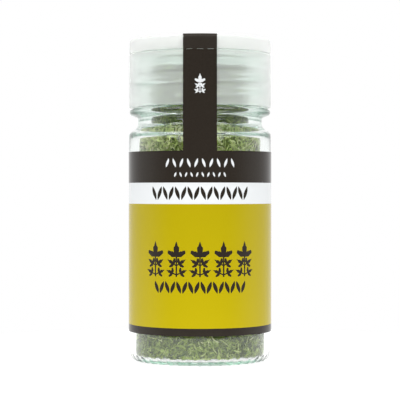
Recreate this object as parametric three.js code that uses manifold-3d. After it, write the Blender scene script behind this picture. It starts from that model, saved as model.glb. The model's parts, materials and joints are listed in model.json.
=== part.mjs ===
// A filled glass spice jar of dried parsley with a frosted flip-top cap.
// Millimetres, +Z up. The jar stands on z = 0 and its axis is the Z axis.
// The front, where the seal strip climbs over the cap, faces -Y, and the
// lid's hinge is at the back, at +Y.
import * as THREE from 'three';
import { mergeVertices } from 'three/addons/utils/BufferGeometryUtils.js';
import Module from 'manifold-3d';

const wasm = await Module();
wasm.setup();

// How finely round pieces are cut, and the air left between two pieces
const AROUND = 40;
const LABEL_AROUND = 60;
const GAP = 0.3;

// Glass jar: outside, from the base up
const BODY_R = 22.4;
const RING_IN_R = 17.4;
const PUNT_HEIGHT = 0.6;
const HEEL_R = 3.5;
const SHOULDER_Z = 70.6;
const NECK_R = 19.55;
const NECK_FOOT_Z = 74.6;
const NECK_TOP_Z = 75.9;
const BEAD_R = 22.2;
const BEAD_Z = 78.1;
const BEAD_HALF = 1.2;
const BEAD_ARC = 1.75;
const FINISH_R = 19.2;
const FINISH_Z = 80.0;
const RIM_Z = 95.1;
const RIM_EDGE = 0.8;

// Glass jar: inside
const BORE_R = 15.6;
const BORE_FOOT_Z = 74.2;
const LEDGE_DROP = 1.2;
const LEDGE_RISE = 1.2;
const INNER_TOP_R = 19.3;
const INNER_TOP_Z = 69.6;
const INNER_R = 20.5;
const INNER_WIDE_Z = 20.0;
const INNER_HEEL_Z = 3.4;
const FLOOR_EDGE_R = 19.2;
const FLOOR_EDGE_Z = 1.7;
const FLOOR_Z = 2.6;

// Grip ridges round the heel
const RIDGES = 40;
const RIDGE_SIDES = 8;
const RIDGE_WIDTH = 1.1;
const RIDGE_HEIGHT = 0.22;
const RIDGE_BEDDED = 0.05;

// Screw thread on the glass, and the one inside the cap half a turn away:
// sunk is how far its ends sink into the wall, which is inwards on the glass
const PITCH = 4.27;
const THREAD_SIDES = 6;
const THREAD_STEPS = 22;
const THREAD_RUNOUT = 0.11;
const GLASS_THREAD = { centreR: 19.15, radius: 1.15, z: 83.0, turns: 1.85, start: -2.5, sunk: -1.3 };
const CAP_THREAD = { centreR: 20.95, radius: 0.95, z: 85.1, turns: 1.7, start: -2.5, sunk: 0.8 };

// Cap body: the collar that screws on, with the sifter deck across it
const CAP_FOOT_Z = 79.6;
const CAP_FOOT_R = 22.4;
const CAP_R = 22.3;
const COLLAR_TOP_Z = 96.25;
const COLLAR_IN_R = 20.7;
const DECK_Z = 95.4;
const DECK_TOP_Z = 97.2;
const SIFTER_TOP_Z = 96.8;
const SIFTER_R = 13.8;
const BOSS_R = 20.2;
const PLUG_R = 15.2;
const PLUG_WALL = 0.9;
const PLUG_Z = 92.9;
const HOLE_R = 2.5;
const HOLE_RING_R = 8.6;
const HOLES_IN_RING = 6;

// Flip lid
const LID_FOOT_Z = COLLAR_TOP_Z + GAP;
const LID_TOP_Z = 101.0;
const LID_PLATE = 1.2;
const LID_WALL_IN_R = 20.55;
const LID_ROUND = 1.0;
const LID_RING_R = 17.3;
const LID_RING_WALL = 0.8;
const LID_RING_Z = DECK_TOP_Z + GAP;

// Hinge ledges, one on the collar and one on the lid, with the pivot between
const HINGE_Y = 22.7;
const HINGE_HALF = 6.0;
const LEDGE_HEIGHT = 1.3;
const LEDGE_ROOT_Y = 21.6;

// Label and the seal strip that is one piece with it
const LABEL_IN_R = 22.5;
const LABEL_OUT_R = 22.7;
const LABEL_FOOT_Z = 9.3;
const LABEL_TOP_Z = 65.6;
const LABEL_GAP_HALF = 2.0;
const STRIP_HALF = 5.2;
const TAB_END_Y = -13.5;
const TAB_INNER_R = 3;

// Dried parsley: how high it is filled and its clearance
const FILL_TOP_Z = 92.5;
const FILL_CLEAR = 0.35;

// The packed mass: how finely it is cut, how far it stands in from the room on its
// side, foot and top, how much it is dented and lifted, and its crown's rise by radius
const CORE = { rows: 22, around: 26, side: 0.15, foot: 0.3, top: 1.6, dent: 0.075, lift: 1.2 };
const CROWN = [[0.72, 0.6], [0.38, 1.0], [0, 0.9]];

// The flakes that stand out of it, larger than life, and where they lie
const FLAKE = { thick: 0.65, long: 2.4, longSpread: 2.2, wide: 1.0, wideSpread: 0.9, inset: 0.45, tilt: 0.9 };
const FLAKE_ZONES = [
  { count: 31, low: 3.8, high: 9.8, flat: false },
  { count: 70, low: 64, high: 91.5, flat: false },
  { count: 19, low: 91.5, high: 91.5, flat: true },
];
const GOLDEN_TURN = 2.39996;

// A random draw with a fixed seed, so that the flakes fall alike each time
function seededRandom(seed) {
  let state = seed;
  return () => {
    state = (state * 1664525 + 1013904223) % 4294967296;
    return state / 4294967296;
  };
}

// A geometry with its shared points merged into one
function merged(geometry) {
  const plain = geometry.clone();
  plain.deleteAttribute('normal');
  plain.deleteAttribute('uv');
  return mergeVertices(plain, 1e-4);
}

// A closed geometry as a solid that can be joined and cut
function solid(geometry) {
  const whole = merged(geometry);
  const corners = [];
  const index = whole.index.array;
  for (let i = 0; i < index.length; i += 3) {
    const [a, b, c] = [index[i], index[i + 1], index[i + 2]];
    if (a !== b && b !== c && c !== a) corners.push(a, b, c);
  }
  const vertProperties = new Float32Array(whole.attributes.position.array);
  const triVerts = new Uint32Array(corners);
  return new wasm.Manifold(new wasm.Mesh({ numProp: 3, vertProperties, triVerts }));
}

// A solid back as a geometry
function geometryOf(shape) {
  const mesh = shape.getMesh();
  const geometry = new THREE.BufferGeometry();
  geometry.setAttribute('position', new THREE.BufferAttribute(mesh.vertProperties, 3));
  geometry.setIndex(new THREE.BufferAttribute(mesh.triVerts, 1));
  geometry.computeVertexNormals();
  return geometry;
}

// The largest body of a solid, without the loose scraps that a cut leaves
function largest(shape) {
  const bodies = shape.decompose();
  return bodies.reduce((a, b) => (b.volume() > a.volume() ? b : a));
}

// Pairs of radius and height as the points of an outline
function outlineOf(pairs) {
  return pairs.map(([r, z]) => new THREE.Vector2(r, z));
}

// A cubic curve between two pairs, pulled towards the two in the middle
function smoothCurve(pairs, steps) {
  return new THREE.CubicBezierCurve(...outlineOf(pairs)).getPoints(steps);
}

// An outline of radius and height turned about the Z axis
function turned(points, segments = AROUND) {
  return new THREE.LatheGeometry(points, segments).rotateX(Math.PI / 2);
}

// A box from its lowest to its highest corner
function block(low, high) {
  const size = high.map((value, i) => value - low[i]);
  const middle = high.map((value, i) => (value + low[i]) / 2);
  return new THREE.BoxGeometry(...size).translate(...middle);
}

// A straight round bar along Z
function bar(radius, z0, z1, x, y, sides = 12) {
  const rod = new THREE.CylinderGeometry(radius, radius, z1 - z0, sides);
  return rod.rotateX(Math.PI / 2).translate(x, y, (z0 + z1) / 2);
}

// Points on a quarter or other part of a round corner, as radius and height
function corner(centreR, centreZ, radius, from, to, steps) {
  const curve = new THREE.EllipseCurve(centreR, centreZ, radius, radius, from, to, to < from);
  return curve.getPoints(steps);
}

// A screw thread: a round bar swept along a helix, tapering into the wall at both ends
function threadRidge({ centreR, radius, z, turns, start, sunk }) {
  const steps = Math.round(turns * THREAD_STEPS);
  const points = [];
  for (let i = 0; i <= steps; i++) {
    const along = i / steps;
    const angle = start + along * turns * 2 * Math.PI;
    const full = Math.min(1, (Math.min(along, 1 - along) * turns) / THREAD_RUNOUT);
    const r = centreR + sunk * (1 - full);
    const height = z + along * turns * PITCH;
    points.push(new THREE.Vector3(r * Math.cos(angle), r * Math.sin(angle), height));
  }
  const round = new THREE.EllipseCurve(0, 0, radius, radius);
  const section = new THREE.Shape(round.getPoints(THREAD_SIDES).slice(0, THREAD_SIDES));
  const path = new THREE.CatmullRomCurve3(points);
  return new THREE.ExtrudeGeometry(section, { steps, extrudePath: path, bevelEnabled: false });
}

// The outside of the jar as radius and height, from the axis at the base to the rim
function jarOutside() {
  const underside = outlineOf([
    [0, PUNT_HEIGHT], [RING_IN_R * 0.6, PUNT_HEIGHT * 0.85],
    [RING_IN_R - 1, PUNT_HEIGHT * 0.3], [RING_IN_R, 0],
  ]);
  const heel = corner(BODY_R - HEEL_R, HEEL_R, HEEL_R, -Math.PI / 2, 0, 3);
  const shoulder = smoothCurve([
    [BODY_R, SHOULDER_Z], [BODY_R, SHOULDER_Z + 2.0], [NECK_R, NECK_FOOT_Z - 2.2], [NECK_R, NECK_FOOT_Z],
  ], 6);
  const neck = outlineOf([[NECK_R, NECK_TOP_Z]]);
  const bead = corner(BEAD_R - BEAD_HALF, BEAD_Z, BEAD_HALF, -BEAD_ARC, BEAD_ARC, 6);
  const finish = outlineOf([
    [FINISH_R, FINISH_Z], [FINISH_R, RIM_Z - RIM_EDGE], [FINISH_R - RIM_EDGE, RIM_Z],
  ]);
  return [...underside, ...heel, ...shoulder, ...neck, ...bead, ...finish];
}

// The inside of the jar, from the rim down to the axis at the floor
function jarInside() {
  const rim = outlineOf([[BORE_R + RIM_EDGE, RIM_Z], [BORE_R, RIM_Z - RIM_EDGE]]);
  const ledge = smoothCurve([
    [BORE_R, BORE_FOOT_Z], [BORE_R, BORE_FOOT_Z - LEDGE_DROP],
    [INNER_TOP_R, INNER_TOP_Z + LEDGE_RISE], [INNER_TOP_R, INNER_TOP_Z],
  ], 6);
  const wall = outlineOf([[INNER_R, INNER_WIDE_Z]]);
  const heel = smoothCurve([
    [INNER_R, INNER_HEEL_Z], [INNER_R, INNER_HEEL_Z - 1.0],
    [FLOOR_EDGE_R + 0.9, FLOOR_EDGE_Z], [FLOOR_EDGE_R, FLOOR_EDGE_Z],
  ], 3);
  return [...rim, ...ledge, ...wall, ...heel, new THREE.Vector2(0, FLOOR_Z)];
}

// One grip ridge: a coin set upright in the round of the heel, which stands out
// most half-way up it and fades to nothing at the base and at the side
function heelRidge(turn) {
  const offset = RIDGE_HEIGHT / (1 - Math.SQRT1_2) + RIDGE_BEDDED;
  const radius = HEEL_R + RIDGE_HEIGHT - offset;
  const coin = new THREE.CylinderGeometry(radius, radius, RIDGE_WIDTH, RIDGE_SIDES);
  const out = offset * Math.SQRT1_2;
  return coin.translate(BODY_R - HEEL_R + out, 0, HEEL_R - out).rotateZ(turn);
}

// The jar's cavity, open at the top
function cavity() {
  const above = outlineOf([[BORE_R + RIM_EDGE, RIM_Z + 1], [0, RIM_Z + 1]]);
  return turned([...jarInside().reverse(), ...above]);
}

// The glass jar with its thread and its heel ridges, cut level at the base
function glassJar() {
  let jar = solid(turned([...jarOutside(), new THREE.Vector2(0, RIM_Z)]));
  jar = jar.add(solid(threadRidge(GLASS_THREAD)));
  for (let i = 0; i < RIDGES; i++) {
    jar = jar.add(solid(heelRidge(((i + 0.5) / RIDGES) * 2 * Math.PI)));
  }
  const far = BODY_R + 5;
  const below = block([-far, -far, -5], [far, far, 0]);
  return geometryOf(jar.subtract(solid(cavity())).subtract(solid(below)));
}

// The collar and the sifter deck, with the plug that seats in the jar's mouth
function capOutline() {
  const plugInR = PLUG_R - PLUG_WALL;
  const plug = [
    [0, DECK_Z], [plugInR, DECK_Z], [plugInR, PLUG_Z + 0.4],
    [PLUG_R - PLUG_WALL / 2, PLUG_Z], [PLUG_R, PLUG_Z + 0.4], [PLUG_R, DECK_Z],
  ];
  const collar = [
    [COLLAR_IN_R, DECK_Z], [COLLAR_IN_R, CAP_FOOT_Z + 0.6], [COLLAR_IN_R + 0.5, CAP_FOOT_Z],
    [CAP_FOOT_R - 0.3, CAP_FOOT_Z], [CAP_FOOT_R, CAP_FOOT_Z + 0.3], [CAP_R, COLLAR_TOP_Z],
  ];
  const boss = [
    [BOSS_R, COLLAR_TOP_Z], [BOSS_R, DECK_TOP_Z - 0.3], [BOSS_R - 0.4, DECK_TOP_Z],
    [SIFTER_R + 0.4, DECK_TOP_Z], [SIFTER_R, SIFTER_TOP_Z], [0, SIFTER_TOP_Z],
  ];
  return outlineOf([...plug, ...collar, ...boss]);
}

// The thread inside the collar, trimmed to the collar's own wall
function capThread() {
  const inR = COLLAR_IN_R - 2;
  const outR = CAP_R - 0.3;
  const section = [[inR, CAP_FOOT_Z], [outR, CAP_FOOT_Z], [outR, DECK_Z], [inR, DECK_Z], [inR, CAP_FOOT_Z]];
  return solid(threadRidge(CAP_THREAD)).intersect(solid(turned(outlineOf(section))));
}

// One half of the hinge: a ledge at the back, from one height to another
function hingeLedge(z0, z1) {
  return solid(block([-HINGE_HALF, LEDGE_ROOT_Y, z0], [HINGE_HALF, HINGE_Y, z1]));
}

// One sifter hole through the deck
function sifterHole(x, y) {
  return solid(bar(HOLE_R, DECK_Z - 1, DECK_TOP_Z + 1, x, y));
}

// The collar, moulded in one with the sifter and the hinge's lower ledge
function capBody() {
  let cap = solid(turned(capOutline())).add(capThread());
  cap = cap.add(hingeLedge(COLLAR_TOP_Z - LEDGE_HEIGHT, COLLAR_TOP_Z));
  cap = cap.subtract(sifterHole(0, 0));
  for (let i = 0; i < HOLES_IN_RING; i++) {
    const angle = ((i + 0.5) / HOLES_IN_RING) * 2 * Math.PI;
    cap = cap.subtract(sifterHole(HOLE_RING_R * Math.cos(angle), HOLE_RING_R * Math.sin(angle)));
  }
  return geometryOf(cap);
}

// The lid, with the ring that closes round the sifter
function flipLid() {
  const ceiling = LID_TOP_Z - LID_PLATE;
  const ringInR = LID_RING_R - LID_RING_WALL;
  const inside = outlineOf([
    [0, ceiling], [ringInR, ceiling], [ringInR, LID_RING_Z], [LID_RING_R, LID_RING_Z],
    [LID_RING_R, ceiling], [LID_WALL_IN_R - 0.5, ceiling], [LID_WALL_IN_R, ceiling - 0.5],
    [LID_WALL_IN_R, LID_FOOT_Z], [CAP_R, LID_FOOT_Z],
  ]);
  const edge = corner(CAP_R - LID_ROUND, LID_TOP_Z - LID_ROUND, LID_ROUND, 0, Math.PI / 2, 3);
  const lid = solid(turned([...inside, ...edge, new THREE.Vector2(0, LID_TOP_Z)]));
  return geometryOf(lid.add(hingeLedge(LID_FOOT_Z, LID_FOOT_Z + LEDGE_HEIGHT)));
}

// A ring of the label's thickness, from one height to another
function labelSleeve(z0, z1) {
  const section = [
    [LABEL_IN_R, z0], [LABEL_OUT_R, z0], [LABEL_OUT_R, z1], [LABEL_IN_R, z1], [LABEL_IN_R, z0],
  ];
  return solid(turned(outlineOf(section), LABEL_AROUND));
}

// The label round the jar, with its strip standing up to the tear line at the lid
function label() {
  const far = LABEL_OUT_R + 2;
  const top = COLLAR_TOP_Z + 1;
  const cuts = [
    block([-LABEL_GAP_HALF, 0, LABEL_FOOT_Z - 1], [LABEL_GAP_HALF, far, LABEL_TOP_Z + 1]),
    block([-far, 0, LABEL_TOP_Z], [far, far, top]),
    block([STRIP_HALF, -far, LABEL_TOP_Z], [far, 1, top]),
    block([-far, -far, LABEL_TOP_Z], [-STRIP_HALF, 1, top]),
  ];
  let sheet = labelSleeve(LABEL_FOOT_Z, COLLAR_TOP_Z);
  for (const cut of cuts) sheet = sheet.subtract(solid(cut));
  return geometryOf(sheet);
}

// The end of the strip above the tear line, folded over onto the lid's top
function sealTab() {
  const thick = LABEL_OUT_R - LABEL_IN_R;
  const skinZ = LID_TOP_Z + thick / 2;
  const fold = LID_ROUND + thick / 2;
  const foldR = LABEL_IN_R - fold;
  const outer = corner(foldR, skinZ - fold, fold + thick, 0, Math.PI / 2, 4);
  const inner = corner(foldR, skinZ - fold, fold, 0, Math.PI / 2, 4);
  const foot = outlineOf([[LABEL_IN_R, LID_FOOT_Z], [LABEL_OUT_R, LID_FOOT_Z]]);
  const end = outlineOf([[TAB_INNER_R, skinZ + thick], [TAB_INNER_R, skinZ]]);
  const ring = solid(turned([...foot, ...outer, ...end, ...inner.reverse(), foot[0]], LABEL_AROUND));
  const strip = block([-STRIP_HALF, -LABEL_OUT_R - 1, LID_FOOT_Z - 1], [STRIP_HALF, TAB_END_Y, skinZ + 2]);
  return geometryOf(ring.intersect(solid(strip)));
}

// The room inside the jar that the parsley fills, clear of the floor, the wall and the ledge
function fillRoom() {
  const room = [];
  for (const { x, y } of jarInside().reverse()) {
    if (y > BORE_FOOT_Z) continue;
    const onLedge = y >= INNER_TOP_Z;
    const onFloor = y <= INNER_HEEL_Z;
    const shift = onLedge ? -FILL_CLEAR : onFloor ? FILL_CLEAR : 0;
    room.push(new THREE.Vector2(Math.max(0, x - FILL_CLEAR), y + shift));
  }
  room.push(...outlineOf([[BORE_R - FILL_CLEAR, FILL_TOP_Z], [0, FILL_TOP_Z]]));
  return room;
}

// The radius of that room at a height
function roomRadius(room, z) {
  for (let i = 1; i < room.length - 2; i++) {
    const [low, high] = [room[i], room[i + 1]];
    if (z >= low.y && z <= high.y) {
      return low.x + ((high.x - low.x) * (z - low.y)) / Math.max(high.y - low.y, 1e-6);
    }
  }
  return room[room.length - 2].x;
}

// The packed mass of the flakes, crumpled on its side and its top
function fillCore(room, random) {
  const foot = FLOOR_Z + FILL_CLEAR + CORE.foot;
  const top = FILL_TOP_Z - CORE.top;
  const outline = [new THREE.Vector2(0, foot)];
  for (let i = 0; i <= CORE.rows; i++) {
    const z = foot + ((top - foot) * i) / CORE.rows;
    outline.push(new THREE.Vector2(roomRadius(room, z) - CORE.side, z));
  }
  const edge = outline[outline.length - 1].x;
  for (const [share, rise] of CROWN) outline.push(new THREE.Vector2(edge * share, top + rise));
  const core = merged(turned(outline, CORE.around));
  const place = core.attributes.position;
  for (let i = 0; i < place.count; i++) {
    const [x, y, z] = [place.getX(i), place.getY(i), place.getZ(i)];
    const dent = 1 - CORE.dent * random();
    const lift = z > foot + 0.5 ? (random() - 0.5) * CORE.lift : 0;
    place.setXYZ(i, x * dent, y * dent, z + lift);
  }
  return solid(core);
}

// One flake: a small torn leaf lobe of even thickness
function flake(random) {
  const long = FLAKE.long + random() * FLAKE.longSpread;
  const wide = FLAKE.wide + random() * FLAKE.wideSpread;
  const lobe = new THREE.Shape([
    new THREE.Vector2(-long * 0.5, 0), new THREE.Vector2(0, -wide * 0.55),
    new THREE.Vector2(long * 0.5, 0), new THREE.Vector2(-long * 0.15, wide * 0.5),
  ]);
  const plate = new THREE.ExtrudeGeometry(lobe, { depth: FLAKE.thick, bevelEnabled: false });
  return plate.translate(0, 0, -FLAKE.thick / 2);
}

// One flake laid against the wall, or flat on the top, in a given direction round the axis
function laidFlake(room, zone, angle, random) {
  const spread = random();
  const z = zone.low + spread * (zone.high - zone.low);
  const wall = roomRadius(room, z) - FLAKE.inset;
  const r = zone.flat ? Math.sqrt(spread) * (wall - 1.5) : wall;
  const blade = flake(random);
  blade.rotateZ(random() * Math.PI * 2);
  blade.rotateX((random() - 0.5) * FLAKE.tilt);
  if (!zone.flat) blade.rotateY(Math.PI / 2);
  return blade.rotateZ(angle).translate(r * Math.cos(angle), r * Math.sin(angle), z);
}

// The parsley: a crumpled mass with flakes standing out of it where the glass is bare
function parsleyFill() {
  const random = seededRandom(20);
  const room = fillRoom();
  let fill = fillCore(room, random);
  let laid = 0;
  for (const zone of FLAKE_ZONES) {
    for (let i = 0; i < zone.count; i++) {
      fill = fill.add(solid(laidFlake(room, zone, laid * GOLDEN_TURN, random)));
      laid += 1;
    }
  }
  return geometryOf(largest(fill.intersect(solid(turned(room)))));
}

// Finishes of the pieces
const glassFinish = new THREE.MeshStandardMaterial({
  color: 0xe6f2ea, roughness: 0.04, metalness: 0, transparent: true, opacity: 0.35,
});
const frostedFinish = new THREE.MeshStandardMaterial({
  color: 0xeef0ec, roughness: 0.45, metalness: 0, transparent: true, opacity: 0.6,
});
const labelFinish = new THREE.MeshStandardMaterial({ color: 0xc6b014, roughness: 0.35, metalness: 0 });
const stripFinish = new THREE.MeshStandardMaterial({ color: 0x352d26, roughness: 0.4, metalness: 0 });
const parsleyFinish = new THREE.MeshStandardMaterial({ color: 0x6f7a3a, roughness: 0.95, metalness: 0 });

// A named piece
function piece(name, geometry, material) {
  const mesh = new THREE.Mesh(geometry, material);
  mesh.name = name;
  return mesh;
}

const spiceJar = new THREE.Group();
spiceJar.name = 'spice_jar';
spiceJar.add(piece('glass_jar', glassJar(), glassFinish));
spiceJar.add(piece('parsley_fill', parsleyFill(), parsleyFinish));
spiceJar.add(piece('cap_body', capBody(), frostedFinish));
spiceJar.add(piece('label', label(), labelFinish));

const lid = new THREE.Group();
lid.name = 'lid';
lid.add(piece('flip_lid', flipLid(), frostedFinish));
lid.add(piece('seal_tab', sealTab(), stripFinish));
spiceJar.add(lid);

export default spiceJar;
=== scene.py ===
"""The looks of a filled glass spice jar of dried parsley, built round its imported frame.

Metres, +Z up, the front facing -Y. Each operator makes one piece or one group of like
pieces, and main() calls them in order.
"""

import json
import math
import random

import bmesh
import bpy
import numpy as np
from mathutils import Matrix, Vector


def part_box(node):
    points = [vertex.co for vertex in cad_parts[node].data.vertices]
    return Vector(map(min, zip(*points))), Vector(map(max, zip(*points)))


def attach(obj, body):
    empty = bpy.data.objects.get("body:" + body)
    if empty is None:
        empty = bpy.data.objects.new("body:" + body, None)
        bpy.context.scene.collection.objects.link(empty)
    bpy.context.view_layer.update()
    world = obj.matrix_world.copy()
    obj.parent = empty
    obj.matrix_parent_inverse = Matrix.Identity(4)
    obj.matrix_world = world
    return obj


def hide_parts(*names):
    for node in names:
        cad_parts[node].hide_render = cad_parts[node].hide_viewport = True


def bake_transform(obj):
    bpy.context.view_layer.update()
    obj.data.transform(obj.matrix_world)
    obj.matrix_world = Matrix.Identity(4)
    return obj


bl_info = {
    "name": "Spice jar of dried parsley",
    "version": (1, 0, 0),
    "blender": (4, 5, 0),
    "location": "View3D > Sidebar > Spice jar",
    "description": "Builds a filled glass spice jar with a flip-top cap and a label",
    "category": "Add Mesh",
}

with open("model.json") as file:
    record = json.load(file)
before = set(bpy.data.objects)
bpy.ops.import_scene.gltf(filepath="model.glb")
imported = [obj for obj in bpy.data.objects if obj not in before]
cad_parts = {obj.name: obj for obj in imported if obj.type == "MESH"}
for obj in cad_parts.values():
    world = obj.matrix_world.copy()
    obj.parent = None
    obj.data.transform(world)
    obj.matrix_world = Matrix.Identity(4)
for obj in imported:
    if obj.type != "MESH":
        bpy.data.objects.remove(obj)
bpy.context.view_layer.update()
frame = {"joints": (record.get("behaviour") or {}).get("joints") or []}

MM = 0.001
FULL = 2 * math.pi

# Places read from the frame
JAR_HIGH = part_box("glass_jar")[1]
CAP_LOW, CAP_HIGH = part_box("cap_body")
LID_LOW, LID_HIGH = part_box("flip_lid")
FILL_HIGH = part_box("parsley_fill")[1]
LABEL_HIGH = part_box("label")[1]
TAB_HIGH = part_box("seal_tab")[1]
HINGE = Vector(frame["joints"][0]["pos_m"])
BODY_R = JAR_HIGH.x
RIM_Z = JAR_HIGH.z
CAP_FOOT_Z = CAP_LOW.z
CAP_FOOT_R = CAP_HIGH.x
COLLAR_TOP_Z = LABEL_HIGH.z
LID_FOOT_Z = LID_LOW.z
LID_TOP_Z = LID_HIGH.z
CAP_R = LID_HIGH.x

# Points closer than this are one point
SAME_POINT = 0.001 * MM

# Glass jar, outside
RING_IN_R = 17.4 * MM
RING_FOOT_Z = 0.12 * MM
RING_ROUND = 0.2 * MM
PUNT_HEIGHT = 0.6 * MM
PUNT_FLAT_R = 9.0 * MM
HEEL_R = 3.5 * MM
SHOULDER_Z = 70.6 * MM
NECK_R = 19.55 * MM
NECK_FOOT_Z = 74.6 * MM
NECK_TOP_Z = 75.7 * MM
BEAD_FOOT = (21.0 * MM, 76.95 * MM)
BEAD_R = 22.2 * MM
BEAD_Z = 78.1 * MM
BEAD_HEAD = (21.1 * MM, 79.25 * MM)
FINISH_R = 19.2 * MM
FINISH_Z = 80.5 * MM
RIM_ROUND = 1.0 * MM

# Glass jar, inside
MOUTH_ROUND = 0.8 * MM
BORE_R = 15.6 * MM
BORE_FOOT_Z = 74.2 * MM
BORE_DROP = 1.2 * MM
INNER_TOP_R = 19.3 * MM
INNER_TOP_Z = 69.6 * MM
INNER_RISE = 1.2 * MM
INNER_R = 20.5 * MM
INNER_WIDE_Z = 20.0 * MM
INNER_HEEL_Z = 3.4 * MM
FLOOR_EDGE_R = 19.2 * MM
FLOOR_EDGE_Z = 1.7 * MM
FLOOR_Z = 2.6 * MM
HEEL_DROP = 1.0 * MM
HEEL_REACH = 0.9 * MM

# Heel ridges: where they start and end, as angles up the round of the heel, and how they swell
RIDGE_FOOT = 0.12
RIDGE_TOP = 1.2
RIDGE_SWELL = 0.7
RIDGE_POWER = 1.5

# Threads: the one on the glass, and the one inside the cap
PITCH = 4.27 * MM
THREAD_FADE = 7
THREAD_POWER = 0.8
GLASS_THREAD = {"height": 1.1 * MM, "half": 1.05 * MM, "z": 83.0 * MM, "turns": 1.85, "start": -2.5}
CAP_THREAD = {"height": -0.7 * MM, "half": 0.75 * MM, "z": 85.1 * MM, "turns": 1.7, "start": -2.5}

# Parsley: its packed core, and the flakes' ways of lying
CORE_TOP_DROP = 1.6 * MM
CORE_FLOOR_GAP = 0.9 * MM
CORE_WALL_GAP = 1.25 * MM
CORE_ROWS = 110
CORE_STEPS = 120
CORE_CAP_ROWS = 12
CORE_DENT = 0.55 * MM
CORE_BUMP = 0.5 * MM
# The core's tones stay at the dark end: painted shade between the flakes
CORE_TONE = 0.42
FLAKE_DEPTH = (0.1, 1.5)
FLAKE_TILT = 0.42
FLAKE_SCALE = (0.75, 1.2)
BACK_HALF_TURN = 0.24
TOP_LAYER = 1.3 * MM
TOP_SPREAD = 1.2
TONE_SPREAD = 0.21
STALK_PALER = 0.3
GLASS_GAP = 0.07 * MM
GLASS_SOFT = 0.5 * MM

# Kinds of flake: ranges of length and width in millimetres, of curl and of twist, the grid
# that each is bent from, and its thickness
TORN_BIT = ((1.2, 2.4), (0.6, 1.15), (0.3, 1.3), (-0.5, 0.5), (3, 2), 0.12 * MM)
SHRED = ((1.5, 3.2), (0.35, 0.75), (0.8, 2.2), (-1.5, 1.5), (5, 1), 0.12 * MM)
STALK = ((2.0, 3.8), (0.2, 0.3), (0.0, 0.4), (-0.3, 0.3), (4, 1), 0.3 * MM)
FLAKE_KINDS = (TORN_BIT, TORN_BIT, SHRED, SHRED, SHRED, STALK) * 6

# Cap
COLLAR_IN_R = 20.7 * MM
COLLAR_EDGE = 0.28 * MM
DECK_Z = 95.4 * MM
DECK_TOP_Z = 97.2 * MM
SIFTER_TOP_Z = 96.8 * MM
SIFTER_R = 13.8 * MM
BOSS_R = 20.2 * MM
BOSS_ROUND = 0.35 * MM
PLUG_R = 15.2 * MM
PLUG_WALL = 0.9 * MM
PLUG_Z = 92.9 * MM
HOLE_R = 2.5 * MM
HOLE_RING_R = 8.6 * MM
HOLES_ROUND = 6
LID_PLATE = 1.2 * MM
LID_WALL_IN_R = 20.55 * MM
LID_RING_R = 17.3 * MM
LID_RING_WALL = 0.8 * MM
LID_EDGE = 0.25 * MM
LID_ROUND = 1.0 * MM
LID_CORNER = 0.6 * MM
LEDGE_HALF = 6.0 * MM
LEDGE_HEIGHT = 1.3 * MM
LEDGE_SUNK = 0.9 * MM
LEDGE_SHORT = 0.25 * MM
LEDGE_STEP = 0.02 * MM
LEDGE_ROUND = 0.15 * MM
WEB_HALF = 4.6 * MM
WEB_REACH = 0.95 * MM
WEB_BULGE = 0.16 * MM
WEB_THICK = 0.22 * MM
WEB_INSET = 0.3 * MM
WEB_WAIST = 0.1

# Frosted plastic: how each surface shares out the light, and where the inside's painted green cast
# ends
PLASTIC_CLEAR = 0.43
PLASTIC_ROUGH = 0.3
PLASTIC_IOR = 1.12
COLLAR_MILK = 0.2
LID_MILK = 0.3
# The lid's copy of the plastic is darkened by this factor: painted shade
LID_PAINTED_SHADE = 0.9
HINGE_MILK = 0.35
# Inside this radius the cap's surfaces get the painted green cast
PAINTED_CAST_R = 21.6 * MM

# Light: the lamps, and the backdrop, which is dim towards the camera and bright behind
SUN = 2.1
SUN_PLACES = {"lamp_left": (-0.45, -0.65, 0.61), "lamp_right": (0.45, -0.65, 0.61)}
SUN_SPREAD = math.radians(50)
DARK_BEFORE = -0.8
BRIGHT_FROM = 0.1
SKY_FROM = 0.1
SKY_FULL = 0.7
DIM = 0.08
BOUNCES = 40

# Camera and floor
CAMERA_PLACE = (0, -494.5 * MM, 53.4 * MM)
CAMERA_AIM = (0, 0, 50.5 * MM)
LENS = 140.5
SENSOR = 36
FLOOR_R = 112 * MM
FLOOR_DROP = 0.02 * MM
FLOOR_GLOW = 0.8

# Label, with the strip that is one piece with it
SHEET_R = 22.58 * MM
SHEET_THICK = 0.11 * MM
LABEL_FOOT_Z = 9.3 * MM
LABEL_TOP_Z = 65.6 * MM
LABEL_GAP_HALF = 2.0 * MM
VARNISH_IOR = 1.3
STRIP_COLUMNS = [-5.2, -4.15, -2.3, -0.95, 0.95, 2.3, 4.15, 5.2]
LABEL_AROUND = 70
BAND_ROW = 4 * MM
STRIP_ROWS = 20
SLOT_Z = 96.34 * MM
TEAR_Z = 96.4 * MM
FOLD_R = 1.1 * MM

# Ornaments, in millimetres on the flat label: five sprigs, one small sprig on the strip, and
# rows of slanting leaves, each with its foot, height, half width, pitch and pairs to each side
SPRIG_PITCH = 7.3
SPRIG_FOOT = 27.3
STRIP_SPRIG_FOOT = 83.0
STRIP_SPRIG_SCALE = 0.55
LEAF_SLANT = 0.33
MAIN_LEAVES = (22.2, 3.8, 0.62, 1.88, 8)
WHITE_LEAVES = (50.6, 4.2, 0.62, 2.0, 8)
DARK_LEAVES = (60.5, 2.8, 0.42, 2.28, 5)
SMALL_DARK_LEAVES = (57.6, 1.5, 0.3, 1.7, 5)


# Shader maths

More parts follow.
